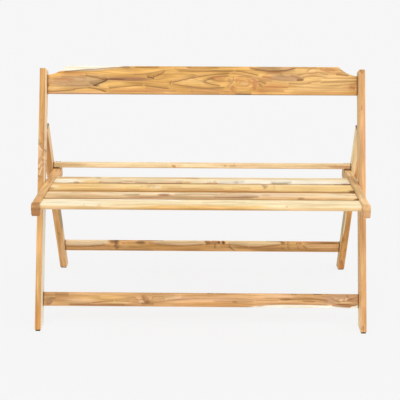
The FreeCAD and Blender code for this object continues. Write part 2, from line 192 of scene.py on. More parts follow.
# %% Long noise
def stretched_noise(tree, place, along, across, seed, detail=2.0, rough=0.5):
    """Noise whose grains are long along the board: counts per metre along it and across it."""
    longer = vector_calc(tree, "MULTIPLY", place, (along, across, across))
    noise = add(tree, "TexNoise",
                {"Vector": longer, "W": seed, "Scale": 1.0, "Detail": detail,
                 "Roughness": rough}, noise_dimensions="4D")
    return noise.outputs


finest_grains = 1500.0  # to the metre, across the board
print("the finest grains are", round(1000 / finest_grains, 2), "mm wide")

# %% The ring group
through_thickness = 0.45  # share of the ring count that runs through the board's thickness
slow_wander, close_wander, uneven = 3.2, 0.6, 0.22  # how far the lines stray, in rings
late_wood_starts, late_wood_ends = 0.3, 0.94  # as shares of a ring
late_wood_curve = 2.2  # above 1, the late wood starts slowly
faintest_ring, faintest_stretch = 0.2, 0.3  # against a full line of 1
fine_lines = 25.0  # how fast the hair lines between two rings follow each other
ring_group, given, made = new_group(
    "teak rings",
    [("Place", "Vector"), ("Hills", "Float"), ("Rings", "Float"), ("Seed", "Float")],
    [(name, "Float") for name in ("Line", "Fine", "Streak", "Fibre", "Pores", "Drift")])
tree = ring_group
place, seed = given["Place"], given["Seed"]
split = add(tree, "SeparateXYZ", {0: place}).outputs
broad = stretched_noise(tree, place, 2.2, 16.0, seed)[0]
close = stretched_noise(tree, place, 12.0, 90.0, seed)[0]
across = calc(tree, "MULTIPLY", split[1], given["Rings"])
depth = calc(tree, "MULTIPLY", split[2], calc(tree, "MULTIPLY", given["Rings"], through_thickness))
count = calc(tree, "ADD", calc(tree, "ADD", across, depth), given["Hills"])
count = calc(tree, "MULTIPLY_ADD", broad, slow_wander, count)
count = calc(tree, "MULTIPLY_ADD", close, close_wander, count)
swing = calc(tree, "SINE", calc(tree, "MULTIPLY", count, 2.3))
count = calc(tree, "MULTIPLY_ADD", swing, uneven, count)

within = calc(tree, "FRACT", count)
number = calc(tree, "FLOOR", count)
chance = add(tree, "TexWhiteNoise",
             {"W": calc(tree, "ADD", number, seed)}, noise_dimensions="1D").outputs[0]
rise = ramp(tree, within, late_wood_starts, late_wood_ends)
rise = calc(tree, "POWER", rise, late_wood_curve)
fall = ramp(tree, within, late_wood_ends + 0.01, 1.0, 1.0, 0.0)
line = calc(tree, "MULTIPLY", calc(tree, "MULTIPLY", rise, fall),
            ramp(tree, chance, 0.0, 1.0, faintest_ring, 1.0))
broken = stretched_noise(tree, place, 7.0, 30.0, 4.0)[0]
line = calc(tree, "MULTIPLY", line, ramp(tree, broken, 0.3, 0.62, faintest_stretch, 1.0))

fine = calc(tree, "SINE", calc(tree, "MULTIPLY", count, fine_lines))
streak = stretched_noise(tree, place, 10.0, 130.0, calc(tree, "ADD", seed, 5.0),
                         3.0, 0.6)[0]
fibre = stretched_noise(tree, place, 14.0, 900.0, seed, 3.0, 0.6)[0]
pores = stretched_noise(tree, place, 70.0, finest_grains, seed, 1.0)[0]
drift = stretched_noise(tree, place, 4.0, 55.0, calc(tree, "ADD", seed, 9.0),
                        2.0, 0.6)[0]
for name, value in (("Line", line), ("Fine", fine), ("Streak", streak), ("Fibre", fibre),
                    ("Pores", ramp(tree, pores, 0.62, 0.74)), ("Drift", drift)):
    tree.links.new(value, made[name])
print("made the group", ring_group.name, "with", len(ring_group.nodes), "nodes")

# %% [markdown]
# ## The camera
# The camera stands almost straight in front of the bench, a little above its crest rail, and looks
# down at it. Its place and lens come from a fit of the bench's own edges to the picture. It is set
# up before the wood, because the boards are drawn as seen from where a buyer would stand.

# %% Camera
focal_pixels = 879.5
picture_width = 400
camera_place = Vector((0.0263, -2.9050, 1.3026))
look_down, look_right, roll = math.radians(17.758), math.radians(-0.625), math.radians(0.176)

lens = bpy.data.cameras.new("camera")
lens.sensor_width = 36.0
lens.lens = focal_pixels / picture_width * lens.sensor_width
camera = bpy.data.objects.new("camera", lens)
camera.location = camera_place
ahead = Vector((math.sin(look_right) * math.cos(look_down),
                math.cos(look_right) * math.cos(look_down), -math.sin(look_down)))
camera.rotation_mode = "QUATERNION"
camera.rotation_quaternion = ahead.to_track_quat("-Z", "Y") @ Quaternion((0, 0, 1), roll)
bpy.context.scene.collection.objects.link(camera)
bpy.context.scene.camera = camera
bpy.context.scene.view_settings.view_transform = "Standard"
print("the lens is", round(lens.lens, 1), "mm")

# %% [markdown]
# ## The directions of a board
# Every pattern needs to know which way its board's grain runs. A board is given by three directions
# at right angles: along the grain, across it, and into the wood. The Mapping node then turns the
# object's coordinates into distances on the board, measured from its middle.
#
# For the boards that run from side to side, "across" is what is upright to someone standing in
# front of the bench. A line of the figure then runs over the rounded edge from the top to the
# front without a break, as it does on a sawn board. The legs use the direction in which they lean.

# %% Directions
front_lean = math.radians(21.7)
rear_lean = math.radians(22.5)
RIGHT = Vector((1, 0, 0))
UP = Vector((0, 0, 1))
REAR = Vector((0, 1, 0))
up_front_frame = Vector((0, math.sin(front_lean), math.cos(front_lean)))
up_rear_frame = Vector((0, -math.sin(rear_lean), math.cos(rear_lean)))


def turn_of(along, across):
    """The rotation, as X, Y and Z angles, of a board with these directions."""
    into = along.cross(across)
    return Matrix((along, across, into)).transposed().to_euler("XYZ")


def middle_of(node):
    low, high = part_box(node)
    return (low + high) / 2


def upright_to_viewer(node):
    """Across a board that runs from side to side, as seen from in front of the bench."""
    return RIGHT.cross((middle_of(node) - camera_place).normalized()).normalized()


print("the front frame leans", round(math.degrees(front_lean), 1), "degrees")

# %% [markdown]
# ## Colours of the wood
# Oiled teak is golden brown. Its sapwood is cream, its late wood is a cool brown, and cut ends
# drink more oil and go dark and red. The main tones have names here. A tone that only one board or
# patch has is written where it is used.

# %% Wood colours
gold = (232, 182, 106)
amber = (212, 154, 88)
orange = (212, 146, 78)
russet = (196, 130, 80)
rose = (224, 176, 136)
blush = (250, 210, 166)
straw = (244, 206, 144)
cream = (252, 230, 190)
sapwood = (255, 246, 226)
ash = (202, 166, 122)
tan = (206, 164, 112)
clay = (178, 128, 86)
umber = (140, 96, 54)
bark = (98, 64, 36)
moss = (150, 140, 104)
end_cut = (176, 118, 70)
pale_tones = (sapwood, cream)  # these quieten the rings under them
print("sapwood is", round(paint(sapwood)[1] / paint(bark)[1], 1), "times as bright as bark")

# %% [markdown]
# ## Spots and veins
# All places on a board are in millimetres from its middle, first along it and then across it. A
# spot is its place, its half length and its half width. Its edge is where the bell curve has
# fallen to about 0.37, one over e, and a softness says how far to either side of that the edge is
# spread. A vein is its start, its end, its width and how dark it is. If it isn't straight, how far
# it bows out between its ends comes last.

# %% Spots and veins
mm = 0.001
endless = 1000.0
edge_level = 0.37
SOFT, FIRM, HARD = 0.32, 0.2, 0.07


def spot(tree, place, along, across, half_length, half_width):
    return use_group(tree, spot_group, Place=place, Centre=(along * mm, across * mm, 0),
                     Size=(half_length * mm, half_width * mm, endless * mm))[0]


def vein(tree, place, so_far, start_along, start_across, end_along, end_across, width, amount,
         bow=0):
    way = Vector((end_along - start_along, end_across - start_across))
    return use_group(tree, vein_group, Place=place,
                     Start=(start_along * mm, start_across * mm, 0),
                     Turn=(0, 0, math.atan2(way.y, way.x)),
                     Size=(way.length * mm, width * mm, endless * mm),
                     Bow=bow / width, Amount=amount, So_Far=so_far)[0]


print("a soft edge is spread from", round(edge_level - SOFT, 2), "to", round(edge_level + SOFT, 2))

# %% [markdown]
# ## The layers of a finish
# The finish is put together in the order in which the eye reads it, one layer over the other, and
# each function below takes the colour so far and gives the next one.
#
# Patches come first. A patch is a spot with a colour and an amount, and may name a firmer edge.
# Where a patch is pale, the rings under it are faint. The inner side of a leg, cut from nearer
# the bark, may have a tone of its own with patches of its own, each with its place along the leg
# and its half length. Then come the veins, listed by their colour.

# %% Patches and veins
side_patch_edge = (0.1, 0.75)  # a soft one, because light wood has no line round it


def lay_patches(tree, place, colour, patches):
    """Also gives how far the pale patches quieten the rings."""
    quiet = 0.0
    for along, across, half_length, half_width, tone, amount, *edge in patches:
        softness = edge[0] if edge else SOFT
        near = spot(tree, place, along, across, half_length, half_width)
        share = ramp(tree, near, edge_level - softness, edge_level + softness, 0.0, amount)
        colour = blend_colour(tree, share, colour, paint(tone))
        if tone in pale_tones:
            quiet = calc(tree, "MAXIMUM", quiet, share)
    return colour, quiet


def lay_inner_side(tree, place, normal, colour, inwards, side_tone, side_patches):
    side_colour = paint(side_tone)
    for along, half_length, tone, amount in side_patches:
        near = spot(tree, place, along, 0, half_length, endless)
        share = ramp(tree, near, *side_patch_edge, 0.0, amount)
        side_colour = blend_colour(tree, share, side_colour, paint(tone))
    facing = vector_calc(tree, "DOT_PRODUCT", normal, inwards)
    return blend_colour(tree, ramp(tree, facing, 0.6, 0.8), colour, side_colour)


def lay_veins(tree, place, colour, veins):
    for tone, shapes in veins.items():
        strength = 0.0
        for shape in shapes:
            strength = vein(tree, place, strength, *shape)
        colour = blend_colour(tree, strength, colour, paint(tone))
    return colour


print("pale tones:", len(pale_tones))

# %% [markdown]
# Under the patches, the board's own tone drifts between a lighter and a deeper one. Over the veins
# lie the streaks, fibres and pores, which shade the colour, and blue most, so that the dark places
# are the warm ones. Where the surface faces along the grain it is end grain, and darkens. Where a
# board butts against the next piece, a dark line at its end is painted shade: the shadow in that
# corner.

# %% Tones, fibres and ends
lighter_by, deeper_by = 0.16, (0.16, 0.22, 0.32)
streak_shades, fibre_shades = (0.86, 1.1), (0.95, 1.05)  # from the darkest to the lightest
fine_line_shade, pore_shade = 0.015, -0.14
blue_curve = 1.5  # above 1, blue is shaded most
end_grain_share = 0.62
# where the painted shade of a joint lies: a dark line for the shadow where a board meets the next
# piece
joint_shade_from, joint_shade_to = 5.5 * mm, 1.5 * mm  # distances from the end of the board


def own_tone(tree, drift, tone, bands):
    light = [min(1.0, c * (1 + lighter_by * bands)) for c in paint(tone)[:3]] + [1.0]
    deep = [c * (1 - share * bands) for c, share in zip(paint(tone), deeper_by)] + [1.0]
    return blend_colour(tree, ramp(tree, drift, 0.36, 0.64), light, deep)


def lay_fibres(tree, figure, colour):
    tint = calc(tree, "MULTIPLY_ADD", figure["Fine"], fine_line_shade, 1.0)
    for shade in (ramp(tree, figure["Streak"], 0.3, 0.7, *streak_shades),
                  ramp(tree, figure["Fibre"], 0.2, 0.8, *fibre_shades),
                  calc(tree, "MULTIPLY_ADD", figure["Pores"], pore_shade, 1.0)):
        tint = calc(tree, "MULTIPLY", tint, shade)
    blue = calc(tree, "POWER", tint, blue_curve)
    shade = add(tree, "CombineColor", {0: tint, 1: tint, 2: blue}).outputs[0]
    return blend_colour(tree, 1.0, colour, shade, "MULTIPLY")


def lay_end_grain(tree, normal, along, colour, end_tone):
    facing = calc(tree, "ABSOLUTE", vector_calc(tree, "DOT_PRODUCT", normal, along))
    share = ramp(tree, facing, 0.7, 0.97, 0.0, end_grain_share)
    return blend_colour(tree, share, colour, paint(end_tone))


# Painted shade: a dark line at each end of a board, for the shadow in the corner where it meets the
# next piece.
def lay_painted_joint_shade(tree, place, colour, board_end, amount):
    from_middle = add(tree, "SeparateXYZ", {0: place}).outputs[0]
    from_middle = calc(tree, "ABSOLUTE", from_middle)
    share = ramp(tree, from_middle, board_end - joint_shade_from, board_end - joint_shade_to,
                 0.0, amount)
    return blend_colour(tree, share, colour, paint(bark))


print("a joint's dark line is about", round((joint_shade_from - joint_shade_to) / mm, 1), "mm wide")

# %% [markdown]
# ## One teak finish per board
# `teak` lays these layers on each other. Everything about a board's figure is in its arguments:
# `rings` is how many rings there are to the metre, `lines` how dark they are, `bands` how much the
# tone drifts. A hill is a spot and how many rings high it is. The spots are bent a little by
# noise, so that no edge is a clean ellipse. The fibres, pores and lines also make a faint relief.

# %% The finish
sway_reach = (20 * mm, 6 * mm, 6 * mm)
pale_line_loss = 0.75  # the share of a ring's line that a pale patch takes away
relief_depth, relief_strength = 0.3 * mm, 0.35
pore_relief, line_relief = -0.8, -0.6  # below the fibres
oiled_roughness, oiled_specular = (0.48, 0.62), 0.25


def teak(node, along, across, tone, line_colour=umber, rings=95, lines=0.5, bands=1.0, seed=0,
         hills=(), patches=(), veins=None, joints_at=None, joint_depth=0.85, inner_side=None,
         end_tone=end_cut):
    material, tree, shader = new_material("teak_" + node)
    coordinates = add(tree, "TexCoord").outputs
    place = add(tree, "Mapping",
                {"Vector": coordinates["Object"], "Location": middle_of(node),
                 "Rotation": turn_of(along, across)}, vector_type="TEXTURE").outputs[0]
    sway = stretched_noise(tree, place, 14.0, 60.0, seed + 2.0)[1]
    sway = vector_calc(tree, "SUBTRACT", sway, (0.5, 0.5, 0.5))
    bent = vector_calc(tree, "MULTIPLY_ADD", sway, sway_reach, place)

    height = 0.0
    for *shape, hill_rings in hills:
        height = calc(tree, "MULTIPLY_ADD", spot(tree, bent, *shape), hill_rings, height)
    figure = use_group(tree, ring_group, Place=place, Hills=height, Rings=rings, Seed=seed)

    colour = own_tone(tree, figure["Drift"], tone, bands)
    colour, quiet = lay_patches(tree, bent, colour, patches)
    if inner_side:
        colour = lay_inner_side(tree, bent, coordinates["Normal"], colour, *inner_side)
    strength = calc(tree, "MULTIPLY_ADD", quiet, -pale_line_loss * lines, lines)
    strength = calc(tree, "MULTIPLY", figure["Line"], strength)
    colour = blend_colour(tree, strength, colour, paint(line_colour))
    if veins:
        colour = lay_veins(tree, bent, colour, veins)
    colour = lay_fibres(tree, figure, colour)
    colour = lay_end_grain(tree, coordinates["Normal"], along, colour, end_tone)
    # painted shade at the joints, where the board meets the next piece
    if joints_at:
        colour = lay_painted_joint_shade(tree, place, colour, joints_at, joint_depth)

    relief = calc(tree, "MULTIPLY_ADD", figure["Pores"], pore_relief, figure["Fibre"])
    relief = calc(tree, "MULTIPLY_ADD", figure["Line"], line_relief, relief)
    bump = add(tree, "Bump", {"Height": relief, "Distance": relief_depth,
                              "Strength": relief_strength}).outputs[0]
    roughness = ramp(tree, figure["Fibre"], 0.2, 0.8, *oiled_roughness)
    fill(tree, shader, {"Base Color": colour, "Normal": bump, "Roughness": roughness,
                        "Specular IOR Level": oiled_specular})
    return material


print("the spots sway by up to", sway_reach[0] / 2 / mm, "mm along the board")

# %% Dressing a piece
def dress(node, material):
    """Gives a piece its finish."""
    for slot in frame["nodes"][node].material_slots:
        slot.material = material


def dress_in_teak(node, along, across, tone, **figure):
    """Gives a piece a teak finish of its own."""
    dress(node, teak(node, along, across, tone, **figure))
    print(node, "has", len(figure.get("patches", ())), "patches")


def dress_board(node, tone, **figure):
    """The same for a board that runs from side to side, with painted shade at the joint at each end.
    """
    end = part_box(node)[1].x
    dress_in_teak(node, RIGHT, upright_to_viewer(node), tone, joints_at=end, **figure)


print("there are", len(frame["nodes"]), "pieces to dress")

# %% [markdown]
# ## The crest rail
# This is the board that everyone looks at. It is cut from beside the heart of the tree, so it shows
# everything at once: a cathedral that opens to the right, a round knot just right of the middle, a
# cool brown streak on the left, and a sliver of sapwood that the saw left along the top edge. The
# rings alone would draw an arch anywhere, so the main lines are laid as veins where they belong.

# %% The crest rail's patches
crest_patches = [
    # from the left end to the middle
    (-430, -6, 105, 20, ash, 0.85), (-440, 23, 46, 5, orange, 0.55),
    (-478, 61, 250, 31, sapwood, 1, HARD), (-260, 44, 14, 4, (176, 140, 118), 0.7),
    (-508, -28, 22, 5, straw, 0.85, FIRM), (-430, -43, 112, 5, rose, 0.7),
    (-470, 1, 34, 4, russet, 0.5), (-370, 13, 60, 5, tan, 0.6), (-535, 3, 16, 12, tan, 0.7),
    (-300, -12, 40, 8, (240, 190, 108), 0.7), (-210, -34, 90, 6, orange, 0.75),
    (-252, 4, 74, 7, (166, 118, 84), 0.9), (-294, 3, 34, 3, (124, 84, 58), 0.8),
    (-312, -21, 12, 5, gold, 0.6), (-362, -18, 7, 4, bark, 0.8), (-528, -17, 7, 5, umber, 0.9),
    # round the knot
    (52, 3, 26, 8, russet, 0.5), (-20, -2, 60, 8, straw, 0.35), (0, -37, 110, 6, amber, 0.7),
    (74, -8, 12, 5, gold, 0.6), (142, -26, 20, 8, (240, 186, 108), 0.6),
    (145, -8, 11, 6, straw, 0.6), (106, -26, 9, 12, russet, 0.55), (92, 0, 7, 8, clay, 0.5),
    (178, -14, 8, 18, russet, 0.75), (203, -35, 20, 8, orange, 0.8),
    # from there to the right end
    (400, 0, 165, 60, straw, 0.45), (236, 41, 62, 7, (184, 146, 104), 0.8, FIRM),
    (290, 40, 26, 6, rose, 0.8), (240, 30, 22, 5, russet, 0.6), (250, -20, 50, 3, orange, 0.7),
    (280, 10, 58, 10, (196, 154, 114), 0.8, FIRM), (334, 5, 10, 4, umber, 0.8),
    (220, 12, 14, 4, russet, 0.6), (262, 33, 30, 4, umber, 0.5), (372, 35, 14, 9, straw, 0.5),
    (440, 38, 30, 5, russet, 0.5), (508, -22, 14, 6, russet, 0.6), (410, -40, 130, 5, orange, 0.6),
    # along the lower edge
    (0, -49, 560, 4, umber, 0.6)]
print("the crest rail has", len(crest_patches), "patches")

# %% The crest rail's veins
crest_veins = {
    umber: [
        (-235, 45, -476, 27, 1.9, 0.9, -1.5), (-235, 45, -145, 45, 1.8, 0.8),
        (-402, 19, -326, 3, 2.4, 0.8, -2), (-386, -8, -346, -21, 2.2, 0.8),
        (-394, -26, -324, -40, 2.6, 0.9, 3), (-545, -38, -428, -31, 2.4, 0.85, -3),
        (-442, -31, -380, -27, 2, 0.75, 2), (-170, 11, -124, 31, 2.2, 0.85, -2),
        (-322, -27, -198, -16, 2.3, 0.85, 1), (-202, -16, -110, -28, 2.3, 0.85, -1),
        (-110, -8, 104, 25, 2.1, 0.9, 6), (84, -21, -110, -8, 2, 0.85, 9),
        (-103, -16, -101, 0, 2.3, 0.85, 6), (6, -3, 94, 15, 2.1, 0.85, 6),
        (62, -17, 6, -3, 2.1, 0.85, 3), (10, -9, 11, 4, 2.2, 0.8, 4),
        (-92, 33, 112, 34, 2.1, 0.8, -2), (110, 34, 196, 16, 2.1, 0.8, 2),
        (-58, 44, 62, 43, 2, 0.8, -2), (186, -1, 214, -12, 2.3, 0.85, 2),
        (188, -11, 206, -22, 2.1, 0.8, 2), (326, 45, 156, 46, 2.6, 0.95, 13),
        (176, 37, 252, 30, 2.2, 0.75, -1), (322, 2, 348, 7, 2.6, 0.8), (454, 23, 500, 19, 2.3, 0.8),
        (470, 38, 496, 26, 2, 0.7), (498, -16, 522, -25, 1.8, 0.7)],
    bark: [
        (-374, -19, -320, 4, 2.8, 0.95, -2), (-192, 12, -163, 7, 2.6, 0.9),
        (110, -45, 170, -45, 2.4, 0.9)],
    russet: [
        (-512, 5, -436, 0, 2.6, 0.7, 3), (-470, 21, -400, 17, 2, 0.5, 1),
        (28, 8, 84, 9, 2.4, 0.7, 2), (106, -3, 172, -2, 2, 0.8, 14),
        (113, -6, 163, -9, 1.8, 0.8, 9), (160, -15, 114, -11, 1.8, 0.7, 8),
        (124, -7, 151, -9, 1.6, 0.75, 5), (134, -14, 158, -12, 1.6, 0.6, -3),
        (120, -47, 103, -17, 2.4, 0.9, 4), (112, -38, 124, -26, 2, 0.6),
        (152, 4, 182, -32, 2.2, 0.8, 6), (206, -20, 294, -22, 3, 0.8, 1),
        (190, -34, 282, -34, 3.6, 0.75), (206, 15, 240, 8, 2.4, 0.8), (356, 30, 392, 44, 2, 0.8, 6),
        (394, 32, 360, 28, 1.8, 0.7, 4), (400, 43, 438, 29, 2.2, 0.85, -1),
        (420, 44, 454, 33, 2, 0.8), (436, 29, 478, 24, 2, 0.7), (478, -22, 522, -12, 1.9, 0.6),
        (504, -26, 524, -18, 1.8, 0.6)],
    clay: [
        (-508, -3, -438, -9, 2, 0.7, -2), (-482, 9, -392, 4, 2, 0.7, 3),
        (-462, -2, -398, -4, 2, 0.7, -4), (-540, -9, -470, -13, 2.2, 0.6),
        (-472, -15, -384, -14, 2, 0.65, -4), (-424, 14, -350, 11, 2, 0.6, 2),
        (-400, -20, -372, -13, 2, 0.6, -2), (-330, -42, -120, -41, 2.4, 0.7, 2),
        (-200, -26, -84, -38, 2.4, 0.7, -1), (-240, 16, -170, 22, 2, 0.5, 1),
        (-160, 2, -118, 14, 2, 0.45, -3), (-62, -1, 14, 17, 1.8, 0.5, 3),
        (-100, 39, -20, 36, 2, 0.5), (98, 26, 242, -4, 2, 0.75, 3),
        (150, 12, 222, -6, 1.9, 0.65, 3), (-62, -23, 40, -28, 2.2, 0.65, -1),
        (-42, -36, 62, -42, 2.4, 0.7), (20, -29, 97, -38, 2.2, 0.65),
        (84, -22, 110, 14, 2.2, 0.8, -4), (164, 8, 196, -24, 2, 0.75, 6),
        (212, 22, 346, 20, 1.9, 0.7, 3), (236, 8, 330, 1, 2, 0.6, -3),
        (298, 18, 336, 6, 2.4, 0.75, 1), (290, -7, 372, -6, 2.3, 0.8, -3),
        (352, -6, 404, 2, 2, 0.7, 1), (338, 11, 402, 15, 2.4, 0.75, 4), (396, 16, 424, 10, 2, 0.75),
        (416, 10, 538, 10, 1.9, 0.75), (396, -6, 538, -2, 1.9, 0.65, 1),
        (290, -14, 350, -24, 2, 0.6), (340, -22, 500, -26, 1.9, 0.55),
        (300, -34, 532, -30, 1.9, 0.55, 1), (396, 30, 428, 22, 2, 0.6, -1)],
    gold: [(-345, 24, -230, 22, 2.4, 0.4, 2)],
    orange: [(226, -11, 322, -19, 2.4, 0.6)]}
print("the crest rail has", sum(len(shapes) for shapes in crest_veins.values()), "veins")

# %% Dress the crest rail
dress_board(
    "crest_rail", gold, rings=110, lines=0.6, bands=1.1, seed=1,
    hills=[
        (95, -3, 190, 22, 3.6), (142, -12, 26, 17, 4.2), (-450, 1, 90, 14, 1.6),
        (-235, 20, 120, 20, 1.1), (290, 12, 90, 16, 1.4), (440, -20, 90, 16, 1.2)],
    patches=crest_patches, veins=crest_veins)

# %% [markdown]
# ## The front stretcher
# The front stretcher is a rosy board with a knot a third of the way along. Near its right end the
# saw ran out into sapwood, which is almost white, with a thin line of bark over it. That strip
# could be a colour ramp across the board, but then it would be equally wide everywhere. A long
# patch with a hard edge tapers by itself, as the real strip does.

# %% Front stretcher
dress_board(
    "front_stretcher", (220, 174, 122), bands=1.1, seed=5,
    hills=[
        (-188, -2, 22, 12, 2.4), (-300, -4, 120, 14, 1.6), (60, 4, 180, 14, -1.2),
        (470, 2, 40, 14, 1.8)],
    patches=[
        (-330, 2, 80, 12, (238, 190, 120), 0.7), (-400, -5, 50, 8, blush, 0.4),
        (-510, 2, 12, 5, moss, 0.6), (-496, 2, 12, 4, umber, 0.5), (-510, -12, 11, 9, clay, 0.8),
        (-509, -11, 5, 4, (190, 160, 140), 0.6), (-330, -19, 130, 4, clay, 0.8),
        (-268, -11, 34, 4, straw, 0.7), (-190, -2, 14, 16, clay, 0.6),
        (-198, -7, 10, 4, blush, 0.7), (-179, -8, 8, 5, umber, 0.7), (-130, 8, 45, 12, tan, 0.4),
        (10, 3, 150, 7, rose, 0.6), (60, -14, 140, 6, amber, 0.7), (112, -6, 10, 3, umber, 0.7),
        (28, 22, 5, 2, bark, 0.8), (39, 22, 4, 2, bark, 0.8), (250, 15, 60, 5, blush, 0.5),
        (286, 4, 26, 3.5, umber, 0.85), (322, -22.5, 160, 9.5, sapwood, 1, HARD),
        (470, 4, 60, 19, (194, 152, 118), 0.8), (470, 3, 6, 4, blush, 0.6),
        (486, 5, 4, 6, blush, 0.6), (500, 4, 11, 6, clay, 0.7), (480, -6, 30, 3, straw, 0.7),
        (478, -12, 26, 3, (150, 92, 48), 0.85), (524, -25, 26, 11, sapwood, 1, HARD)],
    veins={
        umber: [
            (-492, 15, -440, 15, 2.4, 0.6), (-512, -20, -496, -6, 2.5, 0.6),
            (-445, -19, -368, -14, 2.2, 0.7), (-372, -13, -288, -5, 1.8, 0.7, 1),
            (-292, -5, -236, -6, 1.8, 0.6), (-384, -19, -250, -17, 2.4, 0.5, 1),
            (-196, 14, -180, -16, 2.2, 0.7, -3), (-202, -14, -155, -15, 2.4, 0.6),
            (48, 21, 88, 20, 1.5, 0.6), (300, 3, 430, -2, 1.8, 0.75, 5),
            (336, -1, 382, -3, 1.8, 0.6), (300, 20, 320, 20, 2, 0.5),
            (436, -16, 526, -12, 2.2, 0.85, -5), (484, 20, 490, 10, 1.8, 0.7),
            (454, 2, 466, -8, 1.8, 0.6)],
        clay: [
            (-490, 7, -440, 9, 2.6, 0.6), (-165, 18, -85, 15, 2.4, 0.5),
            (38, -5, 185, -3, 2, 0.7, -2), (-100, -20, 185, -21, 1.6, 0.5),
            (180, -2, 262, 0, 2, 0.6), (176, -20, 436, -16, 1.7, 0.8, 5.5),
            (210, 5, 300, 8, 1.6, 0.4)],
        blush: [(-122, 1, -60, 9, 2.6, 0.8)],
        bark: [(372, 21, 402, 20, 2, 0.6)]})

# %% [markdown]
# ## The rear stretcher
# This one was sawn across a row of small knots. Its rounded top edge runs through the pale wood
# between them, so long pale lens shapes lie between the dark ones. The lenses are made paler still as
# painted highlight, where the top faces the light from above. Each lens is one long patch with a hard
# edge, and each knot a few small dark patches with short veins round them.

# %% Rear stretcher
# pale wood, with painted highlight where the top face meets the light from above
pale_lens_and_highlight = (255, 228, 186)
dress_board(
    "rear_stretcher", (232, 182, 120), bands=1.2, seed=8,
    hills=[(-328, 2, 18, 16, 2.4), (60, 2, 24, 14, 2.6), (345, 2, 34, 14, 2.4)],
    patches=[
        (-456, 13, 100, 15, pale_lens_and_highlight, 0.97, HARD), (-86, 13, 104, 11, (254, 224, 176), 0.95, HARD),
        (195, 13, 108, 13, (252, 222, 170), 0.95, HARD), (-340, 14, 17, 8, umber, 0.7),
        (-330, 15, 7, 7, bark, 0.75), (-328, 0, 9, 16, clay, 0.6), (-300, 9, 7, 4, orange, 0.7),
        (-272, 10, 16, 5, orange, 0.55), (-296, -3, 15, 8, straw, 0.5),
        (-236, 11, 20, 5, bark, 0.75), (-220, -4, 60, 6, gold, 0.6), (-100, -5, 120, 4, gold, 0.6),
        (22, 13, 9, 8, umber, 0.7), (45, 14, 17, 7, clay, 0.8), (62, 14, 4.5, 5, bark, 1),
        (80, 13, 5.5, 6, bark, 1), (71, 15, 3.5, 4, tan, 0.7), (60, 2, 9, 6, straw, 0.6),
        (240, -9, 66, 4, clay, 0.5), (312, 12, 9, 6, umber, 0.8),
        (345, 4, 32, 15, (226, 180, 114), 0.7), (376, 12, 6, 4, umber, 0.7),
        (455, 15, 70, 5, clay, 0.8), (485, 13, 34, 3, umber, 0.8),
        (460, 0, 70, 6, (248, 202, 146), 0.7)],
    veins={
        umber: [
            (-532, -5, -366, 2, 2.4, 0.75, -3), (-532, -17, -180, -17, 2.4, 0.55),
            (-332, 20, -331, -18, 4, 0.7), (-250, 19, -170, 20, 2.4, 0.6),
            (12, 20, 18, 3, 2.2, 0.7), (52, 8, 47, -3, 2.2, 0.8), (47, -3, 56, -9, 1.8, 0.7),
            (98, 1, 127, -17, 2.2, 0.7), (238, 21, 312, 18, 2.4, 0.7), (332, 20, 328, 4, 2, 0.7),
            (328, 4, 336, -14, 2, 0.6), (366, 19, 362, 5, 2.2, 0.7), (306, -4, 316, -15, 2.2, 0.6),
            (366, 2, 373, -13, 1.8, 0.6), (388, 4, 404, -8, 2.2, 0.7, -1),
            (180, -16, 528, -16, 2.2, 0.5)],
        clay: [
            (-425, -9, -350, -4, 1.8, 0.5), (-205, 8, -160, 4, 2, 0.7),
            (-185, 4, 8, 5, 2.8, 0.8, -4), (92, 7, 182, -4, 2.4, 0.8),
            (178, -4, 303, 7, 2.6, 0.8, -3)],
        straw: [
            (-282, 5, -238, -3, 2.4, 0.7), (106, 1, 134, -14, 2.2, 0.7),
            (386, 8, 412, -2, 1.8, 0.6)],
        bark: [(-180, 20, -150, 20, 2.2, 0.6)],
        orange: [(-180, -12, 0, -13, 2, 0.4)]})

# %% [markdown]
# ## The cross bar
# The bar is cut from the outside of a trunk, so it is plain and pale, with two pin knots. Its lower
# edge is a little darker, which is painted shade where the rounded edge turns down, and a cream
# stripe along its upper edge is a painted highlight. A patch may be longer than its board: such a one
# is a stripe along the whole edge.

# %% Cross bar
dress_board(
    "cross_bar", (255, 222, 176), rings=110, lines=0.2, bands=0.5, line_colour=amber,
    seed=11,
    patches=[
        # the stripe along the lower edge is painted shade, and the cream one along the upper edge,
        # last below, is a painted highlight
        (-475, 0, 62, 8, tan, 0.5), (0, -10, 560, 3, (226, 180, 130), 0.6),
        (-99, -4, 6, 6, amber, 0.8), (-82, 0, 14, 4, blush, 0.7), (80, -1, 5, 4, tan, 0.5),
        (108, -2, 12, 4, tan, 0.5), (150, 0, 30, 5, blush, 0.6),
        (490, -3, 40, 5, (208, 154, 112), 0.7), (0, 9, 560, 3, cream, 0.5)],
    veins={
        tan: [(112, 6, 122, -5, 1.6, 0.7)],
        amber: [(-106, 2, -104, -7, 1.6, 0.7)]})

# %% [markdown]
# ## The legs
# Legs are long and narrow, so mostly straight lines show on their front faces. The long left one
# has a stretch of wild, wavy figure above the seat, where dark and pale veins alternate. Its inner
# side is sapwood from the feet to the seat and blushes above it. Such a side could have a material
# slot of its own, but a leg is one piece with one finish, so the finish asks which way it faces.

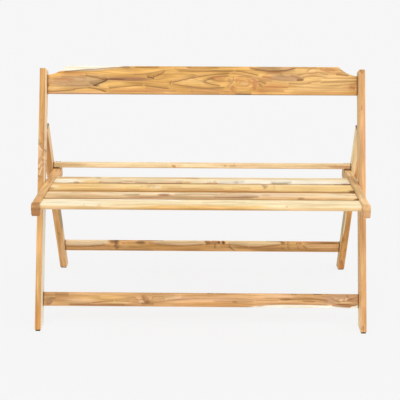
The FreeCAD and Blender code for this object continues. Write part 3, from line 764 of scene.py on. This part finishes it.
# %% Long legs
dress_in_teak(
    "long_leg_left", up_front_frame, RIGHT, (224, 174, 112), lines=0.45, seed=14,
    hills=[(140, -2, 22, 10, 1.6)],
    patches=[
        (-420, 0, 60, 12, orange, 0.6), (-250, -2, 60, 12, (224, 178, 116), 0.6),
        (140, -3, 20, 9, (224, 182, 138), 0.7), (95, 6, 16, 5, clay, 0.5),
        (112, 4, 16, 2.5, blush, 0.6), (250, 9, 90, 3, clay, 0.7),
        (200, 0, 30, 6, (208, 152, 92), 0.5), (200, -5, 40, 3, straw, 0.5)],
    veins={
        clay: [
            (46, -10, 92, 6, 2.2, 0.75, 2), (104, -10, 132, -2, 2, 0.7, -1),
            (130, 2, 158, 9, 2, 0.7, 2), (186, 8, 214, 2, 2, 0.6, 1),
            (196, -4, 260, 0, 1.8, 0.5, 1)],
        umber: [
            (60, -10, 112, 9, 2.2, 0.8, 1), (84, -10, 124, 8, 2.2, 0.8),
            (150, 9, 180, -4, 2.2, 0.85, -2), (160, -2, 192, -10, 2, 0.8, -2)],
        blush: [
            (66, -5, 100, 6, 2.4, 0.9, -1), (92, -8, 118, 3, 2.4, 0.8),
            (150, 3, 172, -8, 2.2, 0.8, -1)]},
    inner_side=(RIGHT, (255, 250, 234), [(310, 300, (250, 214, 168), 0.85)]))
dress_in_teak(
    "long_leg_right", up_front_frame, RIGHT, (226, 174, 120), lines=0.4, seed=17,
    patches=[
        (180, 3, 70, 7, (220, 162, 118), 0.6), (298, -3, 9, 3, clay, 0.6),
        (-325, -7, 14, 5, amber, 0.6), (-434, -2, 9, 5, clay, 0.7), (-230, -4, 40, 4, straw, 0.5),
        (150, -8, 180, 4, tan, 0.6)],
    veins={
        umber: [(417, 3, 427, -9, 1.8, 0.8), (424, 3, 430, -5, 1.6, 0.8)],
        clay: [(-420, 3, -360, 2, 1.6, 0.5, 1)]},
    inner_side=(-RIGHT, (232, 192, 138), [(-430, 70, cream, 0.9)]))

# %% [markdown]
# The rear legs have bolder lines, and the right one has strips of sapwood. Their inner sides have a
# cool band a little below the middle.

# %% Rear legs
dress_in_teak(
    "rear_leg_left", up_rear_frame, RIGHT, (224, 176, 118), lines=0.6, bands=1.2, seed=20,
    hills=[(-230, 0, 60, 12, 1.4)],
    patches=[
        (-255, 2, 60, 7, (222, 178, 134), 0.6), (-120, 2, 30, 8, amber, 0.6),
        (-150, 0, 8, 6, (178, 140, 74), 0.6), (260, 9, 50, 5, clay, 0.8),
        (200, 4, 36, 10, (194, 144, 84), 0.7)],
    inner_side=(RIGHT, (244, 208, 162), [(-86, 64, (156, 136, 98), 0.9)]))
dress_in_teak(
    "rear_leg_right", up_rear_frame, RIGHT, (226, 168, 100), lines=0.6, bands=1.2, seed=23,
    hills=[(-250, 0, 70, 12, 1.6), (-150, -4, 30, 8, -1.4)],
    patches=[
        (-315, 2, 26, 8, (196, 124, 70), 0.7), (-288, -3, 10, 7, clay, 0.6),
        (-200, 3, 30, 6, (216, 162, 90), 0.6), (-175, -6, 12, 5, umber, 0.5),
        (-90, -11, 60, 4.5, cream, 0.95, FIRM), (-90, 4, 50, 8, clay, 0.4),
        (215, -7, 120, 10, (255, 228, 178), 0.95, FIRM), (130, 3, 22, 3, clay, 0.8)],
    inner_side=(-RIGHT, (255, 236, 190), [
        (-95, 72, (176, 160, 120), 0.85), (-290, 110, (214, 176, 124), 0.8)]))

# %% [markdown]
# ## The seat
# The four slats are cut from different boards. The front one is mostly sapwood, with a band of
# gold along its rounded nose. The nose could be picked out by the direction in which it faces, but
# the band is deepest in the middle and paler at the ends, so it is a row of long patches.

# %% Front slat
dress_board(
    "seat_slat_front", (255, 234, 190), rings=70, lines=0.16, bands=0.4,
    line_colour=amber, seed=26,
    patches=[
        (-420, 4, 120, 8, sapwood, 0.5), (-10, -8, 215, 8, (236, 188, 116), 0.95),
        # the dark strip at the bottom of the nose is painted shade under its rounding
        (-10, -14, 270, 4, (198, 146, 82), 0.8), (-240, -1, 28, 4, rose, 0.3),
        (170, -5, 30, 5, (246, 206, 130), 0.6), (390, 3, 80, 4, rose, 0.4),
        (470, 0, 40, 8, cream, 0.6), (-440, -12, 200, 8, (228, 186, 134), 0.9),
        (420, -12, 200, 7, (240, 200, 146), 0.85), (-250, 8, 40, 5, (246, 218, 166), 0.6),
        (-363, -2, 4, 3, tan, 0.3)],
    veins={
        sapwood: [(-490, 19, -40, 15, 3, 0.8)],
        tan: [
            (267, -1, 270, -7, 2, 0.8), (-325, -3, -312, -5, 2.5, 0.5), (0, 8, 150, 9, 2, 0.4, 1)],
        amber: [(-220, 0, 40, 0, 1.8, 0.4, 1)]},
    joint_depth=0.3)

# %% [markdown]
# The second slat has cool streaks and a rosy right half, and the third is golden heartwood.
# Patches longer than the slats make their tops lighter at the back and darker at the front, as
# painted light and shade on a top that turns down at its front edge. A dark line of painted shade
# runs along the front edge of all but the front slat, where the top turns down into the gap.

# %% Second slat
# a dark line of painted shade along a slat's front edge, where the top turns down into the gap
front_edge_shade_line = (700, -5.5, -700, -5.5, 2.6, 0.75)
dress_board(
    "seat_slat_second", (244, 212, 164), rings=75, lines=0.4, bands=0.7,
    line_colour=clay, seed=29,
    patches=[
        (0, 13, 620, 4, (252, 228, 188), 0.55), (0, -3, 620, 5, (218, 172, 114), 0.45),
        (-260, 16, 250, 4, cream, 0.6), (-420, 6, 110, 6, (218, 176, 120), 0.7),
        (-225, 8.5, 26, 3, (178, 146, 104), 0.8), (-205, 9, 7, 2, umber, 0.6),
        (-118, 8.5, 20, 4, (174, 124, 92), 0.95), (30, 16, 60, 4, cream, 0.6),
        (200, 12, 115, 7, (240, 208, 172), 0.8), (212, 8.5, 15, 3, tan, 0.6),
        (330, -1, 170, 5, (232, 184, 124), 0.7), (432, 10, 52, 6, cream, 0.6),
        (320, -0.5, 9, 3, umber, 0.6), (500, -5, 12, 5, bark, 0.9), (120, 1, 45, 3, umber, 0.7),
        (-180, 1, 60, 3, clay, 0.6)],
    veins={
        (176, 148, 104): [(-92, 9.5, 66, 11, 2, 0.7, 1)],
        tan: [
            (60, 11, 112, 18, 2.4, 0.75), (-430, 14, -280, 15, 1.8, 0.5, 1),
            (418, 17, 482, 11, 1.8, 0.6)],
        clay: [(-150, 4, 190, 3, 2.4, 0.6, -1)],
        umber: [(36, 2, 192, 3, 1.8, 0.7), (-490, 0, 190, -2, 1.6, 0.5), front_edge_shade_line]},
    joint_depth=0.45)

# %% Third slat
dress_board(
    "seat_slat_third", (250, 210, 142), rings=70, lines=0.4, bands=0.8,
    line_colour=amber, seed=32,
    patches=[
        (0, 16, 620, 4, (252, 224, 168), 0.5), (0, -6, 620, 5, (214, 158, 84), 0.6),
        (-440, 14, 62, 6, (240, 190, 122), 0.6), (-488, 9, 16, 4, cream, 0.6),
        (-500, 1, 16, 5, clay, 0.7), (-330, 0, 160, 4, (216, 162, 88), 0.85),
        (20, -2, 170, 5, (214, 158, 84), 0.85), (-300, 8, 28, 3, blush, 0.8),
        (-165, 12, 26, 6, tan, 0.4), (-150, 8, 22, 4, cream, 0.6),
        (180, 0, 26, 4, (248, 190, 124), 0.8), (75, -3, 14, 3, amber, 0.8),
        (212, 12, 8, 8, tan, 0.7), (255, 7, 14, 5, (254, 226, 158), 0.8),
        (497, -4, 14, 5, bark, 0.9), (-340, 12, 90, 4, (236, 190, 112), 0.5)],
    veins={
        amber: [
            (-202, 7, -196, 15, 1.8, 0.6), (-180, 9, -165, 14, 1.8, 0.6),
            (-135, 11, -60, 11, 1.8, 0.5), (98, 2, 168, 5, 1.8, 0.7, 1),
            (240, 17, 243, 1, 1.4, 0.6), (-250, 4, -200, 2, 1.8, 0.5)],
        tan: [(-163, 16, -157, 5, 1.6, 0.8)],
        clay: [(203, 18, 213, 5, 2.6, 0.8), (-120, 3, 80, 3, 2, 0.6, 1)],
        umber: [front_edge_shade_line]},
    joint_depth=0.45)

# %% [markdown]
# The rear slat is pale, with a wavy brown streak along its left half. The streak is a chain of
# short veins, each a little off the one before, because one long vein looks drawn with a ruler.

# %% Rear slat
dress_board(
    "seat_slat_rear", (255, 232, 190), rings=60, lines=0.25, bands=0.4,
    line_colour=tan, seed=35,
    patches=[
        (280, 0, 235, 10, sapwood, 1), (-455, 2, 45, 6, sapwood, 0.95, FIRM),
        (-445, 14, 70, 3, tan, 0.8), (-355, 14, 10, 3, umber, 0.5),
        (80, 14, 480, 2.5, (226, 196, 146), 0.6), (-370, -1, 34, 6, (242, 198, 128), 0.8),
        (-423, -3, 9, 4, tan, 0.8), (-250, 2, 24, 3, rose, 0.8), (-115, 1, 20, 3, blush, 0.7),
        (-75, 1, 14, 4, tan, 0.5), (-35, 13, 28, 3, tan, 0.6), (-50, -2, 14, 4, amber, 0.5),
        (30, -6, 22, 4, amber, 0.7), (118, 1.5, 8, 4, (196, 184, 160), 0.8),
        (242, -1, 9, 3, rose, 0.8), (268, -2, 30, 4, (190, 172, 142), 0.7),
        (490, -6, 22, 5, bark, 0.9), (458, -6, 14, 3, clay, 0.8)],
    veins={
        clay: [
            (-350, -1, -268, -3, 2.8, 0.75), (-290, -5, -222, -5, 2.4, 0.8, -1),
            (-228, -1, -176, -3, 3, 0.8), (-182, -4, -58, -4, 2.6, 0.9)],
        amber: [(-64, -5, 14, -7, 2.2, 0.75), (38, 3, 52, -5, 2.2, 0.8)],
        umber: [(14, -6, 52, -8, 2.6, 0.8), front_edge_shade_line],
        tan: [
            (24, 1, 29, -7, 1.8, 0.7), (100, -9, 205, -9, 2.2, 0.7), (-330, 13, 0, 14, 2, 0.5)],
        (206, 192, 170): [(52, -1, 150, 3, 2.2, 0.8)],
        moss: [(232, 0, 310, 3, 2.2, 0.55, -4)]},
    joint_depth=0.45)

# %% [markdown]
# ## Rails and hook blocks
# The rails stand on edge. Their front ends show end grain, and the left one is redder and darker
# than the right. As these ends are rounded, the test for the way they face leaves them half pale,
# so a patch in the colour of the end grain lies over them as well. A dark patch on the top edge near
# the rear end is a painted shadow that the cross bar casts. The hook blocks on the rear ends are
# plain. One loop dresses both sides, because little but the tones differs.

# %% Rails
for side, tone, end_tone in (("left", (232, 184, 126), (176, 122, 72)),
                             ("right", (236, 198, 146), (224, 176, 122))):
    dress_in_teak(
        "seat_rail_" + side, REAR, UP, tone, rings=100, lines=0.3, seed=38 + (side == "left"),
        hills=[(-60, 0, 120, 12, 1.4)],
        patches=[
            (-236, 0, 26, 60, end_tone, 0.95, FIRM), (-228, 12, 6, 3, straw, 0.6),
            # the dark patch at 181 mm, on the top edge near the rear end, is a painted shadow that
            # the cross bar casts
            (-230, -6, 5, 4, clay, 0.7), (-231, 3, 4, 2, bark, 0.5), (181, 20, 7, 12, bark, 0.85),
            (-60, 20, 70, 10, straw, 0.35)],
        veins={
            clay: [(-228, -18, -226, 16, 2, 0.5, 2)],
            umber: [(-160, 22, 120, 22, 1.6, 0.4)]},
        end_tone=end_tone)
    dress_in_teak(
        "hook_block_" + side, REAR, UP, (236, 202, 152), rings=110, lines=0.3,
        seed=44 + (side == "left"))
rail_low, rail_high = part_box("seat_rail_left")
print("the rails are", round((rail_high.y - rail_low.y) / mm), "mm long")

# %% [markdown]
# ## Small pieces
# The dowels sit inside their joints and only need an honest plain finish. The foot pads are hard
# dark rubber, slightly mottled. The spacers are white nylon. Hinges and screws are dulled zinc,
# the bolts stainless steel, and the inserts brass. Real metal is never one flat value, so each of
# them gets two close tones and an uneven roughness from one noise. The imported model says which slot
# each piece has, so a table from slot to finish dresses them all.

# %% Plain finishes
def plain(name, first, second, roughness, grain, metallic=0.0):
    """A finish of two close tones, with so many grains to the metre and a little relief."""
    material, tree, shader = new_material(name)
    where = add(tree, "TexCoord").outputs["Object"]
    noise = add(tree, "TexNoise",
                {"Vector": where, "Scale": grain, "Detail": 4.0, "Roughness": 0.6}).outputs[0]
    colour = blend_colour(tree, ramp(tree, noise, 0.35, 0.65), paint(first), paint(second))
    bump = add(tree, "Bump",
               {"Height": noise, "Distance": 0.1 * mm, "Strength": 0.4}).outputs[0]
    uneven_roughness = ramp(tree, noise, 0.3, 0.7, roughness, roughness + 0.12)
    fill(tree, shader, {"Base Color": colour, "Normal": bump, "Roughness": uneven_roughness,
                        "Metallic": metallic})
    return material


finishes = {
    "dowel_beech": plain("beech_dowel", (222, 186, 138), (204, 164, 116), 0.6, 300.0),
    "pad_rubber": plain("pad_rubber", (72, 60, 44), (54, 44, 32), 0.7, 900.0),
    "spacer_nylon": plain("nylon", (230, 228, 220), (222, 220, 212), 0.4, 400.0),
    "hinge_steel": plain("dulled_zinc", (138, 142, 128), (112, 116, 102), 0.42, 700.0,
                         metallic=0.8),
    "screw_steel": plain("screw_zinc", (150, 150, 142), (122, 122, 112), 0.36, 900.0,
                         metallic=0.9),
    "bolt_steel": plain("stainless", (184, 184, 180), (164, 164, 160), 0.28, 1200.0,
                        metallic=1.0),
    "insert_brass": plain("brass_insert", (200, 164, 92), (180, 142, 76), 0.35, 900.0,
                          metallic=1.0)}
small_pieces = [part for part in frame["record"]["subparts"] if part["material_slot"] in finishes]
for part in small_pieces:
    dress(part["node"], finishes[part["material_slot"]])
print("dressed", len(small_pieces), "small pieces")

# %% [markdown]
# ## The studio
# The floor is a plain pale sheet that runs past every edge of the picture. Lit by lamps alone it
# would be grey, and lamps strong enough to make it white would bleach the bench. So most of what
# the camera sees of it is its own even glow. The rest is lit by the same lamps as the bench, so
# the bench keeps its own faint shadow.

# %% Floor
floor_half = 40.0
floor_colour = paint((246, 246, 246))
own_glow_share = 0.92


def in_view(tree):
    """1 for rays that show a surface, straight or by way of a mirror or glass, else 0."""
    path = add(tree, "LightPath").outputs
    by_way = calc(tree, "MAXIMUM", path["Is Glossy Ray"], path["Is Transmission Ray"])
    return calc(tree, "MAXIMUM", path["Is Camera Ray"], by_way)


sheet = bmesh.new()
bmesh.ops.create_grid(sheet, x_segments=1, y_segments=1, size=floor_half)
floor_mesh = bpy.data.meshes.new("floor")
sheet.to_mesh(floor_mesh)
sheet.free()
floor = bpy.data.objects.new("floor", floor_mesh)
bpy.context.scene.collection.objects.link(floor)

floor_finish, tree, shader = new_material("floor_paper")
fill(tree, shader, {"Base Color": floor_colour, "Roughness": 0.9, "Specular IOR Level": 0.0})
glow = add(tree, "Emission", {"Color": floor_colour, "Strength": 1.0}).outputs[0]
glow_share = calc(tree, "MULTIPLY", in_view(tree), own_glow_share)
both = add(tree, "MixShader", {0: glow_share, 1: shader.outputs[0], 2: glow}).outputs[0]
tree.links.new(both, tree.nodes["Material Output"].inputs["Surface"])
floor.data.materials.append(floor_finish)
print("the floor is", 2 * floor_half, "metres wide")

# %% [markdown]
# Soft light comes from the whole sky. To the camera, and in a mirror or through glass, the sky is
# as pale as the floor, so that no edge shows between them in a low view. On the bench it shines
# less. Two broad suns above the camera give the wood a little shape.

# %% Light
white = (1, 1, 1, 1)
sky_light = 0.6
world = bpy.data.worlds.new("studio")
bpy.context.scene.world = world
world.use_nodes = True
tree = world.node_tree
shown = in_view(tree)
sky_colour = blend_colour(tree, shown, white, floor_colour)
sky_strength = calc(tree, "MULTIPLY_ADD", shown, 1.0 - sky_light, sky_light)
sky = add(tree, "Background", {"Color": sky_colour, "Strength": sky_strength}).outputs[0]
tree.links.new(sky, tree.nodes["World Output"].inputs["Surface"])


def soft_sun(name, strength, from_side, from_above, softness):
    """A broad sun. Angles are in degrees, from straight ahead and from the horizon."""
    lamp = bpy.data.lights.new(name, "SUN")
    lamp.energy = strength
    lamp.angle = math.radians(softness)
    sun = bpy.data.objects.new(name, lamp)
    side, above = math.radians(from_side), math.radians(from_above)
    towards = Vector((math.sin(side) * math.cos(above), -math.cos(side) * math.cos(above),
                      math.sin(above)))
    sun.rotation_euler = towards.to_track_quat("Z", "Y").to_euler()
    bpy.context.scene.collection.objects.link(sun)


soft_sun("key", strength=0.9, from_side=-22.0, from_above=55.0, softness=50.0)
soft_sun("fill", strength=1.0, from_side=62.0, from_above=38.0, softness=70.0)
print("lit by", len(bpy.data.lights), "suns and the sky")
